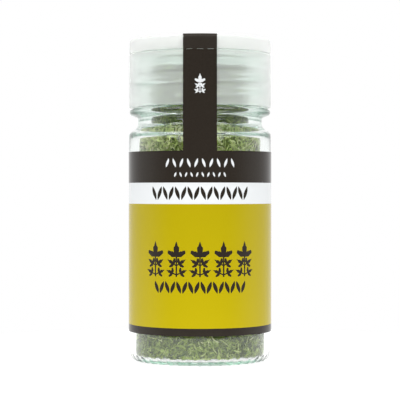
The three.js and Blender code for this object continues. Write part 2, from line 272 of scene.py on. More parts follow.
class Signal:
    """A number in a node tree that Python's own operators work on."""

    def __init__(self, tree, socket):
        self.tree = tree
        self.socket = socket

    def maths(self, operation, *others):
        node = self.tree.nodes.new("ShaderNodeMath")
        node.operation = operation
        for slot, value in zip(node.inputs, (self, *others)):
            if isinstance(value, Signal):
                self.tree.links.new(value.socket, slot)
            else:
                slot.default_value = value
        return Signal(self.tree, node.outputs[0])

    def __add__(self, other):
        return self.maths("ADD", other)

    __radd__ = __add__

    def __sub__(self, other):
        return self.maths("SUBTRACT", other)

    def __rsub__(self, other):
        return self.maths("MULTIPLY_ADD", -1, other)

    def __mul__(self, other):
        return self.maths("MULTIPLY", other)

    __rmul__ = __mul__

    def __truediv__(self, other):
        return self.maths("DIVIDE", other)

    def __rtruediv__(self, other):
        return self.maths("POWER", -1) * other

    def __abs__(self):
        return self.maths("ABSOLUTE")

    def __lt__(self, other):
        return self.maths("LESS_THAN", other)

    def __gt__(self, other):
        return self.maths("GREATER_THAN", other)

    def most(self, other):
        return self.maths("MAXIMUM", other)

    def fraction(self):
        return self.maths("FRACT")


def distance(x, y):
    """How far a place is from where both signals are 0."""
    return (x * x + y * y).maths("SQRT")


def scaled(colour, gain):
    """A colour made darker or lighter, no brighter than white."""
    return tuple(min(1, c * gain) for c in colour)


class Nodes:
    """A node tree, emptied, with the method that adds any node to it."""

    def __init__(self, tree):
        self.tree = tree
        tree.nodes.clear()

    def feed(self, slot, value):
        """Links a signal or a socket to the slot, or sets the slot to a plain value."""
        if isinstance(value, Signal):
            value = value.socket
        if isinstance(value, bpy.types.NodeSocket):
            self.tree.links.new(value, slot)
        else:
            slot.default_value = value

    def node(self, kind, settings=None, **sockets):
        """Adds a node. A socket is named, with _ for each space, or numbered after a first _."""
        made = self.tree.nodes.new(kind)
        for name, value in (settings or {}).items():
            if name == "stops":
                self.set_stops(made.color_ramp, value)
            else:
                setattr(made, name, value)
        for name, value in sockets.items():
            key = int(name[1:]) if name[1:].isdigit() else name.replace("_", " ")
            self.feed(made.inputs[key], value)
        return made

    def set_stops(self, ramp, stops):
        while len(ramp.elements) > 1:
            ramp.elements.remove(ramp.elements[-1])
        ramp.elements[0].position = stops[0][0]
        ramp.elements[0].color = (*stops[0][1], 1)
        for place, colour in stops[1:]:
            ramp.elements.new(place).color = (*colour, 1)

    def signal(self, socket):
        return Signal(self.tree, socket)


class Finish(Nodes):
    """One material, with its patterns in the piece's own coordinates."""

    def __init__(self, name):
        self.material = bpy.data.materials.new(name)
        self.material.use_nodes = True
        super().__init__(self.material.node_tree)
        self.out = self.node("ShaderNodeOutputMaterial")

    def place(self):
        """The piece's own coordinates in metres, as a vector socket."""
        return self.node("ShaderNodeTexCoord").outputs["Object"]

    def place_parts(self):
        parts = self.node("ShaderNodeSeparateXYZ", _0=self.place())
        return [self.signal(parts.outputs[axis]) for axis in "XYZ"]

    def noise(self, scale, detail=2.0, rough=0.5):
        made = self.node(
            "ShaderNodeTexNoise", Vector=self.place(), Scale=scale, Detail=detail, Roughness=rough
        )
        return self.signal(made.outputs["Fac"])

    def mix(self, share, one, other):
        """The first colour where share is 0, the second where it is 1."""
        made = self.node("ShaderNodeMix", {"data_type": "RGBA"}, _0=share)
        for slot, colour in ((made.inputs[6], one), (made.inputs[7], other)):
            self.feed(slot, colour if isinstance(colour, bpy.types.NodeSocket) else (*colour, 1))
        return made.outputs[2]

    def bump(self, height, strength, distance):
        made = self.node("ShaderNodeBump", Strength=strength, Distance=distance, Height=height)
        return made.outputs["Normal"]

    def surface(self, **sockets):
        """Shows a principled surface with these values, and returns the material."""
        shader = self.node("ShaderNodeBsdfPrincipled", **sockets)
        self.feed(self.out.inputs["Surface"], shader.outputs[0])
        return self.material


# Meshes

def placed(name, data):
    """A new object, in the scene."""
    thing = bpy.data.objects.new(name, data)
    bpy.context.scene.collection.objects.link(thing)
    return thing


def arc(centre_r, centre_z, radius, start, end, steps):
    """Points of a round corner in an outline, as radius and height."""
    turn = [start + (end - start) * i / steps for i in range(steps + 1)]
    return [(centre_r + radius * math.cos(t), centre_z + radius * math.sin(t)) for t in turn]


def curve(a, b, c, d, steps):
    """Points of a cubic curve in an outline."""
    points = []
    for i in range(steps + 1):
        t = i / steps
        weights = ((1 - t) ** 3, 3 * t * (1 - t) ** 2, 3 * t * t * (1 - t), t ** 3)
        points.append(tuple(sum(w * p[k] for w, p in zip(weights, (a, b, c, d))) for k in (0, 1)))
    return points


def straight(a, b, steps):
    """Points of a straight stretch in an outline."""
    return [tuple(a[k] + (b[k] - a[k]) * i / steps for k in (0, 1)) for i in range(steps + 1)]


def outwards(bm):
    """Turns the faces outwards."""
    bmesh.ops.recalc_face_normals(bm, faces=bm.faces[:])


def turned(outline, steps):
    """A bmesh of an outline spun about the Z axis."""
    bm = bmesh.new()
    points = [outline[0]]
    for point in outline[1:]:
        if math.dist(point, points[-1]) > SAME_POINT:
            points.append(point)
    verts = [bm.verts.new((r, 0, z)) for r, z in points]
    edges = [bm.edges.new(pair) for pair in zip(verts, verts[1:])]
    bmesh.ops.spin(
        bm, geom=verts + edges, cent=(0, 0, 0), axis=(0, 0, 1),
        angle=FULL, steps=steps, use_merge=True,
    )
    bmesh.ops.remove_doubles(bm, verts=bm.verts[:], dist=SAME_POINT / 10)
    outwards(bm)
    return bm


def threaded(bm, thread, wall_r, near):
    """Raises a screw thread from a round wall, fading at both its ends."""
    for vert in bm.verts:
        r = math.hypot(vert.co.x, vert.co.y)
        if abs(r - wall_r) > near:
            continue
        angle = math.atan2(vert.co.y, vert.co.x)
        first = (angle - thread["start"]) % FULL / FULL
        rise = 0
        for lap in range(int(thread["turns"]) + 2):
            along = first + lap
            if along > thread["turns"]:
                break
            off = (vert.co.z - thread["z"] - along * PITCH) / thread["half"]
            fade = min(1, THREAD_FADE * min(along, thread["turns"] - along))
            if abs(off) < 1:
                rise = max(rise, fade * (1 - off * off) ** THREAD_POWER)
        if rise > 0:
            vert.co.xy *= (r + rise * thread["height"]) / r


def grid(columns, rows):
    """A bmesh of a flat sheet, from -0.5 to 0.5 both ways."""
    bm = bmesh.new()
    bmesh.ops.create_grid(bm, x_segments=columns, y_segments=rows, size=0.5)
    return bm


def thickened(bm, thickness):
    """Gives an open sheet its thickness."""
    bmesh.ops.solidify(bm, geom=bm.faces[:], thickness=thickness)
    outwards(bm)


def finished(bm, name, material, smooth_angle=40):
    """The bmesh as an object with its material, smooth but for sharp edges."""
    mesh = bpy.data.meshes.new(name)
    bm.to_mesh(mesh)
    bm.free()
    thing = placed(name, mesh)
    mesh.materials.append(material)
    mesh.shade_smooth()
    mesh.set_sharp_from_angle(angle=math.radians(smooth_angle))
    return thing


def cut_or_joined(thing, other, operation):
    """Applies a boolean with another bmesh's shape to an object's mesh."""
    mesh = bpy.data.meshes.new("tool")
    other.to_mesh(mesh)
    other.free()
    tool = placed("tool", mesh)
    modifier = thing.modifiers.new("shape", "BOOLEAN")
    modifier.operation = operation
    modifier.solver = "EXACT"
    modifier.object = tool
    graph = bpy.context.evaluated_depsgraph_get()
    made = bpy.data.meshes.new_from_object(thing.evaluated_get(graph))
    thing.modifiers.clear()
    old = thing.data
    thing.data = made
    bpy.data.meshes.remove(old)
    bpy.data.objects.remove(tool)
    bpy.data.meshes.remove(mesh)
    made.shade_smooth()
    made.set_sharp_from_angle(angle=math.radians(35))


def rounded_block(low, high, round_off):
    """A bmesh of a box with its edges rounded."""
    bm = bmesh.new()
    bmesh.ops.create_cube(bm, size=1)
    size = Vector(high) - Vector(low)
    bmesh.ops.scale(bm, vec=size, verts=bm.verts[:])
    bmesh.ops.translate(bm, vec=(Vector(low) + Vector(high)) / 2, verts=bm.verts[:])
    bmesh.ops.bevel(
        bm, geom=bm.edges[:], offset=round_off, affect="EDGES", segments=3, profile=0.5, material=-1
    )
    return bm


def add_ledge(thing, low_z, high_z):
    """Joins on the hinge's ledge, at the back, between two heights."""
    low = (-LEDGE_HALF, CAP_R - LEDGE_SUNK, low_z)
    high = (LEDGE_HALF, HINGE.y - LEDGE_SHORT, high_z)
    cut_or_joined(thing, rounded_block(low, high, LEDGE_ROUND), "UNION")


# The jar's own outlines

def jar_outside():
    """From the axis under the base, up the outside to the rim."""
    points = curve(
        (0, PUNT_HEIGHT), (PUNT_FLAT_R, PUNT_HEIGHT),
        (15.6 * MM, 0.5 * MM), (RING_IN_R, RING_FOOT_Z), 14,
    )
    points += arc(RING_IN_R + 0.25 * MM, RING_ROUND, RING_ROUND, math.pi * 1.2, math.pi * 1.5, 3)
    points += arc(BODY_R - HEEL_R, HEEL_R, HEEL_R, -math.pi / 2, 0, 26)
    points += straight((BODY_R, HEEL_R), (BODY_R, SHOULDER_Z), 12)
    points += curve(
        (BODY_R, SHOULDER_Z), (BODY_R, SHOULDER_Z + 2.0 * MM),
        (NECK_R, NECK_FOOT_Z - 2.2 * MM), (NECK_R, NECK_FOOT_Z), 18,
    )
    points += curve(
        (NECK_R, NECK_TOP_Z), (NECK_R, NECK_TOP_Z + 0.9 * MM), (20.4 * MM, 76.75 * MM), BEAD_FOOT, 8
    )
    points += curve(BEAD_FOOT, (21.8 * MM, 77.2 * MM), (BEAD_R, 77.55 * MM), (BEAD_R, BEAD_Z), 8)
    points += curve((BEAD_R, BEAD_Z), (BEAD_R, 78.75 * MM), (21.9 * MM, 79.0 * MM), BEAD_HEAD, 8)
    points += curve(
        BEAD_HEAD, (20.2 * MM, 79.5 * MM), (FINISH_R, 79.7 * MM), (FINISH_R, FINISH_Z), 8
    )
    points += straight((FINISH_R, FINISH_Z), (FINISH_R, RIM_Z - RIM_ROUND), 62)
    points += arc(FINISH_R - RIM_ROUND, RIM_Z - RIM_ROUND, RIM_ROUND, 0, math.pi / 2, 6)
    return points


def jar_inside():
    """From the rim, down the bore and the wall to the axis at the floor."""
    points = arc(BORE_R + MOUTH_ROUND, RIM_Z - MOUTH_ROUND, MOUTH_ROUND, math.pi / 2, math.pi, 6)
    points += straight((BORE_R, RIM_Z - MOUTH_ROUND), (BORE_R, BORE_FOOT_Z), 6)
    points += curve(
        (BORE_R, BORE_FOOT_Z), (BORE_R, BORE_FOOT_Z - BORE_DROP),
        (INNER_TOP_R, INNER_TOP_Z + INNER_RISE), (INNER_TOP_R, INNER_TOP_Z), 20,
    )
    points += straight((INNER_TOP_R, INNER_TOP_Z), (INNER_R, INNER_WIDE_Z), 8)
    points += straight((INNER_R, INNER_WIDE_Z), (INNER_R, INNER_HEEL_Z), 3)
    points += curve(
        (INNER_R, INNER_HEEL_Z), (INNER_R, INNER_HEEL_Z - HEEL_DROP),
        (FLOOR_EDGE_R + HEEL_REACH, FLOOR_EDGE_Z), (FLOOR_EDGE_R, FLOOR_EDGE_Z), 12,
    )
    points += curve(
        (FLOOR_EDGE_R, FLOOR_EDGE_Z), (14 * MM, FLOOR_EDGE_Z), (8 * MM, FLOOR_Z), (0, FLOOR_Z), 10
    )
    return points


def room():
    """Two functions: the radius inside the jar at a height, and the floor's height at a radius."""
    inside = np.array(jar_inside())
    edge = int(np.argmin(np.hypot(inside[:, 0] - FLOOR_EDGE_R, inside[:, 1] - FLOOR_EDGE_Z)))
    wall = inside[edge::-1]
    heel = wall[wall[:, 1] < INNER_HEEL_Z]
    floor = np.concatenate([inside[:edge:-1], heel])

    def wall_at(z):
        return np.interp(z, wall[:, 1], wall[:, 0])

    def floor_at(r):
        return np.interp(r, floor[:, 0], floor[:, 1])

    return wall_at, floor_at


# Finishes

def glass_finish(colours):
    """Clear glass with a faint green tint that deepens with its thickness."""
    finish = Finish("clear_glass")
    tint = finish.node(
        "ShaderNodeVolumeAbsorption",
        Color=(*colours.glass_depth, 1),
        Density=colours.glass_strength,
    )
    finish.feed(finish.out.inputs["Volume"], tint.outputs[0])
    return finish.surface(
        Base_Color=(1, 1, 1, 1),
        Roughness=0.0,
        IOR=1.52,
        Transmission_Weight=1.0,
        Normal=finish.bump(finish.noise(140.0, 1.0), 0.25, 0.00012),
    )


def plastic_finish(name, colours, milk, dim=1.0, inside_r=0.0):
    """Frosted polypropylene: each surface sends light straight on, blurs it, or turns it to milk.

    What lies within inside_r of the axis is tinted green: a painted green cast that stands in for
    the parsley's light seen through the frosted wall.
    """
    finish = Finish(name)
    grain = finish.noise(700.0, 3.0)
    cloud = finish.noise(60.0, 3.0)
    # dim below 1 makes a darker copy of the same plastic: painted shade, used for the lid
    pale = scaled(colours.plastic, dim)
    x, y, _ = finish.place_parts()
    # Painted green cast: surfaces near the axis take the green tint
    inside = distance(x, y) < inside_r
    return finish.surface(
        Base_Color=finish.mix(inside, finish.mix(cloud, pale, scaled(pale, 0.99)), colours.painted_green_cast),
        Roughness=PLASTIC_ROUGH - 0.04 + 0.08 * grain,
        IOR=PLASTIC_IOR,
        Transmission_Weight=1 - milk / (1 - PLASTIC_CLEAR),
        Alpha=1 - PLASTIC_CLEAR + 0.04 * (cloud - 0.5),
        Normal=finish.bump(grain, 0.05, 0.00002),
    )


def lens(across, along, length, width):
    """1 inside a pointed leaf that starts at along = 0 and has its middle line at across = 0."""
    middle = (along - length / 2) / (length / 2)
    edge = (1 - middle * middle) * width
    return abs(across) < edge


def leaflet(across, up, size):
    """1 inside a fan of three pointed, toothed lobes that grows upwards from the origin."""
    turn = across.maths("ARCTAN2", up)
    lobe = 1 - abs((turn / 1.05 + 0.5).fraction() - 0.5) * 2
    tooth = abs((turn / 0.3).fraction() - 0.5) * 0.3
    edge = (0.42 + 0.58 * lobe) * (1 - abs(turn) * 0.2) * (0.9 + tooth) * size
    return (distance(across, up) < edge) * (abs(turn) < 1.57)


def sprig(across, up, scale):
    """1 inside a small upright sprig: a stem with one lobed leaf at its tip and two pairs below."""
    across = across / scale
    up = up / scale
    side = abs(across)
    mask = (side < 0.24) * (up > 0.0) * (up < 7.0)
    mask = mask.most(leaflet(across, up - 6.0, 4.6))
    for root, reach, size, lean in ((0.6, 1.2, 2.4, 1.15), (3.4, 0.8, 2.6, 1.0)):
        sine, cosine = math.sin(lean), math.cos(lean)
        along = side * sine + (up - root) * cosine
        off = side * cosine - (up - root) * sine
        mask = mask.most((abs(off) < 0.2) * (along > 0.0) * (along < reach + 0.3))
        mask = mask.most(leaflet(off, along - reach, size))
    return mask


def leaf_row(across, up, foot, tall, half_width, pitch, pairs):
    """1 inside a row of leaves that slant left and right by turns, evenly about the middle."""
    column = (across / pitch).maths("FLOOR")
    off = across - (column + 0.5) * pitch
    odd = (column * 0.5).fraction() > 0.25
    slant = (odd * 2 - 1) * LEAF_SLANT
    leaf = lens(off - (up - foot - tall / 2) * slant, up - foot, tall, half_width)
    return leaf * (abs(across) < pairs * pitch)


def ink(finish, fibre, colours):
    """The dark print, uneven along the paper's fibres."""
    return finish.mix(fibre, scaled(colours.dark, 0.8), scaled(colours.dark, 1.25))


def label_finish(colours, sizes):
    """Varnished paper printed in bands, with plain leaf ornaments."""
    finish = Finish("printed_label")
    x, y, z = finish.place_parts()
    up = z / MM
    across = x.maths("ARCTAN2", y * -1) * (SHEET_R / MM)
    white_foot = sizes.white_foot / MM
    white_band = (up > white_foot) * (up < sizes.white_top / MM)
    main_band = (up > sizes.main_foot / MM) * (up < white_foot)

    cell = (across / SPRIG_PITCH + 0.5).maths("FLOOR")
    five = abs(cell) < 2.5
    sprigs = sprig(across - cell * SPRIG_PITCH, up - SPRIG_FOOT, 1.0) * five
    lone = sprig(across, up - STRIP_SPRIG_FOOT, STRIP_SPRIG_SCALE) * (abs(across) < 3)
    ink_on_main = sprigs.most(leaf_row(across, up, *MAIN_LEAVES)) * main_band
    ink_on_white = leaf_row(across, up, *WHITE_LEAVES) * white_band
    dark_leaves = leaf_row(across, up, *DARK_LEAVES)
    pale_on_dark = lone.most(dark_leaves).most(leaf_row(across, up, *SMALL_DARK_LEAVES))

    # Tiny specks and soft clouds keep the print from looking flat
    fibre = finish.noise(1900.0, 3.0, 0.6)
    speck = finish.noise(5200.0, 2.0, 0.7)
    cloud = finish.noise(90.0, 3.0)
    main = finish.mix(speck, scaled(colours.main, 0.93), scaled(colours.main, 1.06))
    dark = ink(finish, fibre, colours)
    pale = finish.mix(cloud, colours.paper, scaled(colours.paper, 0.97))
    colour = finish.mix(pale_on_dark, dark, pale)
    colour = finish.mix(white_band, colour, pale)
    colour = finish.mix(main_band, colour, main)
    colour = finish.mix(ink_on_main.most(ink_on_white), colour, dark)
    back = distance(x, y) < SHEET_R - SHEET_THICK * 0.4
    return finish.surface(
        Base_Color=finish.mix(back, colour, pale),
        Roughness=0.09 + 0.05 * fibre,
        IOR=VARNISH_IOR,
        Normal=finish.bump(fibre, 0.08, 0.00003),
    )


def strip_finish(colours):
    """The same paper, all dark, and duller than the label all over."""
    finish = Finish("dark_strip")
    fibre = finish.noise(1900.0, 3.0, 0.6)
    return finish.surface(
        Base_Color=ink(finish, fibre, colours),
        Roughness=0.4 + 0.05 * fibre,
        IOR=VARNISH_IOR,
        Specular_IOR_Level=0.25,
        Normal=finish.bump(fibre, 0.08, 0.00003),
    )


def leaf_finish(name, colours, gain):
    """Dry leaf in a tone of its own for each flake, mottled and matt."""
    finish = Finish(name)
    own = finish.node("ShaderNodeAttribute", {"attribute_name": "tone"})
    tone = finish.signal(own.outputs["Fac"])
    mottle = finish.noise(900.0, 3.0, 0.6)
    vein = finish.noise(4200.0, 2.0)
    stops = [
        (0.0, colours.leaf_dark), (0.3, colours.leaf_deep), (0.6, colours.leaf_mid),
        (0.82, colours.leaf_pale), (1.0, colours.leaf_straw),
    ]
    stops = [(place, scaled(colour, gain)) for place, colour in stops]
    ramp = finish.node("ShaderNodeValToRGB", {"stops": stops}, _0=tone + (mottle - 0.5) * 0.5)
    return finish.surface(
        Base_Color=ramp.outputs[0],
        Roughness=0.7 + 0.2 * vein,
        Specular_IOR_Level=0.35,
        Normal=finish.bump(vein, 0.5, 0.0001),
    )


# Properties

def length_setting(name, description, default):
    return bpy.props.FloatProperty(
        name=name, description=description, default=default,
        min=0.0, soft_max=0.2, unit="LENGTH", precision=4,
    )


def colour_setting(name, description, default):
    return bpy.props.FloatVectorProperty(
        name=name, description=description, default=default,
        min=0.0, max=1.0, subtype="COLOR", size=3,
    )


def count_setting(name, description, default, low, high):
    return bpy.props.IntProperty(
        name=name, description=description, default=default, min=low, max=high
    )


class SpiceJarSizes(bpy.types.PropertyGroup):
    """Sizes and counts that a user would change."""

    fill_top: length_setting("Fill height", "The parsley's top above the base plane", FILL_HIGH.z)
    around: count_setting("Smoothness", "Steps round the glass and the cap", 240, 48, 480)
    ridges: count_setting("Heel ridges", "Upright grip ridges round the base", 40, 0, 80)
    ridge_height: length_setting("Ridge height", "How far a heel ridge stands out", 0.28 * MM)
    flakes: count_setting("Flakes", "Loose flakes of parsley against the glass", 12700, 500, 20000)
    white_top: length_setting("White band top", "Its height above the base plane", 55.9 * MM)
    white_foot: length_setting("White band foot", "Its height above the base plane", 49.4 * MM)
    main_foot: length_setting("Main band foot", "Its height above the base plane", 11.66 * MM)


class SpiceJarColours(bpy.types.PropertyGroup):
    """Colours of the glass, the cap, the label and the leaves."""

    glass_depth: colour_setting("Glass tint", "A thick piece of the glass", (0.4, 0.8, 0.62))
    glass_strength: bpy.props.FloatProperty(
        name="Glass tint strength", description="How fast the tint deepens",
        default=11.0, min=0.0, max=200.0,
    )
    plastic: colour_setting("Frosted plastic", "The cap and the lid", (0.985, 0.998, 0.981))
    # The inside's green tint is a painted green cast of the parsley behind the frosted wall
    painted_green_cast: colour_setting("Dusty plastic", "The dusty inside of the cap", (0.87, 0.985, 0.925))
    main: colour_setting("Label", "The label's main band", (0.374, 0.299, 0.003))
    dark: colour_setting("Dark print", "Dark bands, strip and ornaments", (0.0223, 0.0177, 0.0135))
    paper: colour_setting("Paper", "The label's white band", (0.665, 0.685, 0.695))
    leaf_dark: colour_setting("Leaf, darkest", "Darkest flakes", (0.06, 0.1, 0.015))
    leaf_deep: colour_setting("Leaf, dark", "Dark flakes", (0.212, 0.305, 0.045))
    leaf_mid: colour_setting("Leaf, middle", "Most flakes", (0.39, 0.51, 0.12))
    leaf_pale: colour_setting("Leaf, pale", "Pale flakes", (0.595, 0.69, 0.27))
    leaf_straw: colour_setting("Stalk", "Dry stalks and edges", (0.725, 0.755, 0.41))


# Operators

class Builder(bpy.types.Operator):
    """Shared by the operators below: reads the settings."""

    bl_options = {"REGISTER", "UNDO"}

    def settings(self, context):
        return context.scene.spice_jar_sizes, context.scene.spice_jar_colours


class SPICEJAR_OT_glass(Builder):
    """Turns the glass jar, with its heel ridges, bead and screw thread"""

    bl_idname = "spicejar.glass"
    bl_label = "Glass jar"

    def execute(self, context):
        sizes, colours = self.settings(context)
        bm = turned(jar_outside() + jar_inside(), sizes.around)
        threaded(bm, GLASS_THREAD, FINISH_R, 0.05 * MM)
        self.ridged(bm, sizes)
        jar = finished(bm, "jar_glass", glass_finish(colours))
        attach(jar, "jar")
        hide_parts("glass_jar")
        return {"FINISHED"}

    def ridged(self, bm, sizes):
        """Raises upright ribs round the lower part of the heel."""
        centre_r, centre_z = BODY_R - HEEL_R, HEEL_R
        for vert in bm.verts:
            r = math.hypot(vert.co.x, vert.co.y)
            out, down = r - centre_r, centre_z - vert.co.z
            if out < 0 or down < 0 or abs(math.hypot(out, down) - HEEL_R) > 0.02 * MM:
                continue
            lift = math.atan2(out, down)
            wave = math.cos(math.atan2(vert.co.y, vert.co.x) * sizes.ridges)
            along = min(1.0, max(0.0, (lift - RIDGE_FOOT) / (RIDGE_TOP - RIDGE_FOOT)))
            swell = abs(math.sin(math.pi * along)) ** RIDGE_SWELL
            rise = sizes.ridge_height * swell * max(0.0, wave) ** RIDGE_POWER
            push = 1 + rise / HEEL_R
            vert.co.xy *= (centre_r + out * push) / r
            vert.co.z = max(0.0, centre_z - down * push)


class SPICEJAR_OT_parsley(Builder):
    """Packs the dried parsley: a crumpled core, darkened as painted shade, with loose flakes all
    over it
    """

    bl_idname = "spicejar.parsley"
    bl_label = "Dried parsley"

    def execute(self, context):
        sizes, colours = self.settings(context)
        wall, floor = room()
        core = self.core(sizes, colours, wall)
        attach(core, "jar")
        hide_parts("parsley_fill")
        top = sizes.fill_top

        # Each zone's middle tone, then where its flakes lie, from and to which height, and how
        # many. The same parsley fills every zone, so the lower tones at the foot and the neck are
        # painted shade and the higher tone at the shoulder is painted light
        zones = {
            "flakes_foot": (0.27, [("side", 2.2 * MM, 14 * MM, 3000), ("floor", 0, 0, 900)]),
            "flakes_shoulder": (
                0.64, [("side", 59 * MM, 73 * MM, 3600), ("back", 12 * MM, 60 * MM, 900)]
            ),
            "flakes_neck": (
                0.16, [("side", 72.5 * MM, top - 1.2 * MM, 3300), ("top", 0, 0, 1000)]
            ),
        }
        share = sizes.flakes / sum(count for _, zone in zones.values() for *_, count in zone)
        kinds = self.kinds()
        finish = leaf_finish("dried_leaf", colours, 1.0)
        for number, (name, (shade, stretches)) in enumerate(zones.items()):
            draw = np.random.default_rng(100 + number)
            bm = bmesh.new()
            tones = []
            for where, low, high, count in stretches:
                stretch = (where, low, high, int(count * share))
                tones += self.scatter(bm, draw, kinds, wall, floor, top, shade, stretch)
            flakes = finished(bm, name, finish, 50)
            mesh = flakes.data
            places = np.empty(len(tones) * 3)
            mesh.vertices.foreach_get("co", places)
            pressed = self.pressed(places.reshape(-1, 3), wall, floor, top)
            mesh.vertices.foreach_set("co", pressed.ravel())
            mesh.attributes.new("tone", "FLOAT", "POINT").data.foreach_set("value", tones)
            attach(flakes, "jar")
            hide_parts("parsley_fill")
        for flake, _ in kinds:
            bpy.data.meshes.remove(flake)
        return {"FINISHED"}

    def core(self, sizes, colours, wall):
        """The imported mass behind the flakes."""
        draw = random.Random(5)
        top = sizes.fill_top - CORE_TOP_DROP
        foot = FLOOR_Z + CORE_FLOOR_GAP
        outline = [(0, foot), (FLOOR_EDGE_R * 0.6, foot - 0.3 * MM)]
        outline.append((FLOOR_EDGE_R, foot - 0.2 * MM))
        for i in range(1, CORE_ROWS + 1):
            z = foot + (top - foot) * i / CORE_ROWS
            outline.append((float(wall(z)) - CORE_WALL_GAP, z))
        edge = outline[-1][0]
        for i in range(1, CORE_CAP_ROWS + 1):
            inwards = i / CORE_CAP_ROWS
            outline.append((edge * (1 - inwards), top + CORE_BUMP * math.sin(inwards * math.pi)))
        bm = turned(outline, CORE_STEPS)
        for vert in bm.verts:
            r = math.hypot(vert.co.x, vert.co.y)
            if r > 1 * MM:
                vert.co.xy *= (r - draw.random() * CORE_DENT) / r
            vert.co.z += (draw.random() - 0.5) * CORE_BUMP
        # Low tones and leaf colours darkened to 0.8 make the core painted shade, seen in the gaps
        # between the flakes
        tone = bm.verts.layers.float.new("tone")
        for vert in bm.verts:
            vert[tone] = draw.random() * CORE_TONE
        return finished(bm, "parsley_core", leaf_finish("packed_leaf_painted_shade", colours, 0.8), 180)

    def kinds(self):
        """Flakes to copy, each a small mesh, and whether it is a stalk."""
        draw = random.Random(11)
        made = []
        for kind in FLAKE_KINDS:
            long, wide, curl, twist = (draw.uniform(*span) for span in kind[:4])
            (along, beside), thick = kind[4:]
            bm = grid(along, beside)
            bend = draw.uniform(0.2, 1.6)
            for vert in bm.verts:
                u, v = vert.co.x, vert.co.y
                taper = 1 - (abs(2 * u) ** 2.5) * draw.uniform(0.35, 0.75)
                u += draw.uniform(-0.05, 0.05)
                roll = v * taper * draw.uniform(0.75, 1.1) * 2 * curl
                y = wide * math.sin(roll) / max(2 * curl, 1e-3)
                lift = wide * (1 - math.cos(roll)) / max(2 * curl, 1e-3)
                y, lift = Matrix.Rotation(twist * 2 * u, 2) @ Vector((y, lift))
                arch = u * bend
                x = long * math.sin(arch) / bend
                vert.co = (x * MM, y * MM, (lift + long * (1 - math.cos(arch)) / bend) * MM)
            outwards(bm)
            thickened(bm, thick)
            bmesh.ops.triangulate(bm, faces=bm.faces[:])
            mesh = bpy.data.meshes.new("flake")
            bm.to_mesh(mesh)
            bm.free()
            made.append((mesh, kind is STALK))
        return made

    def scatter(self, bm, draw, kinds, wall, floor, top, shade, stretch):
        """Adds copies for one stretch, on the glass or lying loose, and returns their tones."""
        where, low, high, count = stretch
        tones = []
        for _ in range(count):
            shape, stalk = kinds[int(draw.integers(len(kinds)))]
            angle = draw.uniform(0, FULL)
            depth = draw.uniform(*FLAKE_DEPTH) * MM
            tilt = draw.normal(0, FLAKE_TILT, 2)
            turn = Matrix.Rotation(tilt[0], 4, "X") @ Matrix.Rotation(tilt[1], 4, "Y")
            turn = turn @ Matrix.Rotation(draw.uniform(0, FULL), 4, "Z")
            if draw.random() < 0.5:
                turn = turn @ Matrix.Rotation(math.pi, 4, "X")
            if where in ("side", "back"):
                z = draw.uniform(low, high)
                if where == "back":
                    angle = math.pi / 2 + draw.uniform(-BACK_HALF_TURN, BACK_HALF_TURN)
                stand = Matrix.Rotation(angle, 4, "Z") @ Matrix.Rotation(math.pi / 2, 4, "Y")
                r = float(wall(z)) - depth
            elif where == "top":
                stand = Matrix.Rotation(angle, 4, "Z")
                r = (BORE_R - 1 * MM) * math.sqrt(draw.random())
                z = top - TOP_LAYER + draw.uniform(0, TOP_SPREAD) * MM
            else:
                stand = Matrix.Rotation(angle, 4, "Z")
                r = (FLOOR_EDGE_R + 1.5 * MM) * math.sqrt(draw.random())
                z = float(floor(r)) + depth
            place = Matrix.Translation((r * math.cos(angle), r * math.sin(angle), z))
            flake = shape.copy()
            flake.transform(place @ stand @ turn @ Matrix.Scale(draw.uniform(*FLAKE_SCALE), 4))
            bm.from_mesh(flake)
            mean = shade + STALK_PALER if stalk else shade
            tone = min(0.95, max(0.05, draw.normal(mean, TONE_SPREAD)))
            tones += [tone] * len(flake.vertices)
            bpy.data.meshes.remove(flake)
        return tones

    def pressed(self, here, wall, floor, top):
        """Presses what would cross the glass flat against it, keeping the order in depth."""
        r = np.hypot(here[:, 0], here[:, 1])
        free = wall(here[:, 2]) - GLASS_GAP - GLASS_SOFT
        squeezed = np.exp(-np.maximum(r - free, 0) / GLASS_SOFT)
        r_new = np.where(r > free, free + GLASS_SOFT * (1 - squeezed), r)
        here[:, :2] *= (r_new / np.maximum(r, 1e-9))[:, None]
        free = floor(r_new) + GLASS_GAP + GLASS_SOFT
        squeezed = np.exp(-np.maximum(free - here[:, 2], 0) / GLASS_SOFT)
        here[:, 2] = np.where(here[:, 2] < free, free - GLASS_SOFT * (1 - squeezed), here[:, 2])
        here[:, 2] = np.minimum(here[:, 2], top)
        return here


